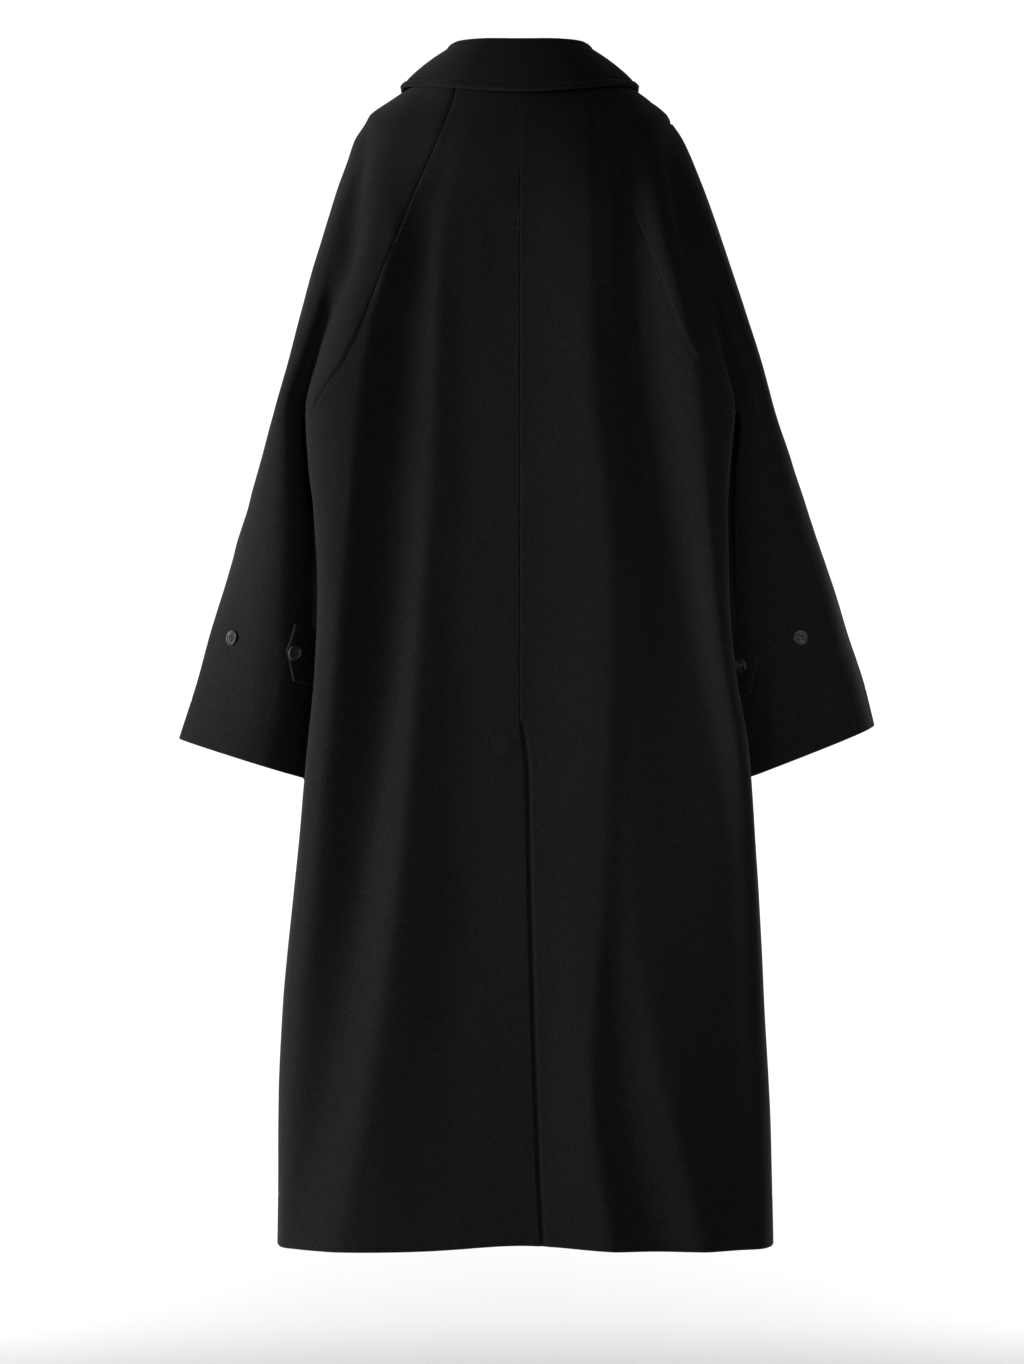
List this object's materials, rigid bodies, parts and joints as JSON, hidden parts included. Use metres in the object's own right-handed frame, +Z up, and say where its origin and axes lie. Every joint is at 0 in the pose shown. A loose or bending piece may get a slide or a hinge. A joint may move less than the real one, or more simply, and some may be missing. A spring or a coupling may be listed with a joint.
{
  "type": "balmacaan coat",
  "caption": "Long black wool balmacaan coat, filled out with no wearer: raglan sleeves, turned-down collar, back vent, cuff tabs and a hidden front closing",
  "frame": {"origin": "the middle of the wearer's neck at shoulder level, where the shoulders carry the coat", "axes": "+Z up, +Y out of the back of the coat, +X to the wearer's left"},
  "size_m": [0.7147, 0.3396, 1.2241],
  "materials": {
    "wool": "matte brushed wool",
    "button": "semi-matte"
  },
  "bodies": {
    "root": {"back_left": "wool", "back_right": "wool", "front_left": "wool", "front_right": "wool", "sleeve_left_back": "wool", "sleeve_left_front": "wool", "sleeve_right_back": "wool", "sleeve_right_front": "wool", "collar_stand": "wool", "collar_fall": "wool", "cuff_tab_left": "wool", "cuff_tab_right": "wool", "sleeve_button_left": "button", "sleeve_button_right": "button", "tab_button_left": "button", "tab_button_right": "button"}
  },
  "joints": []
}
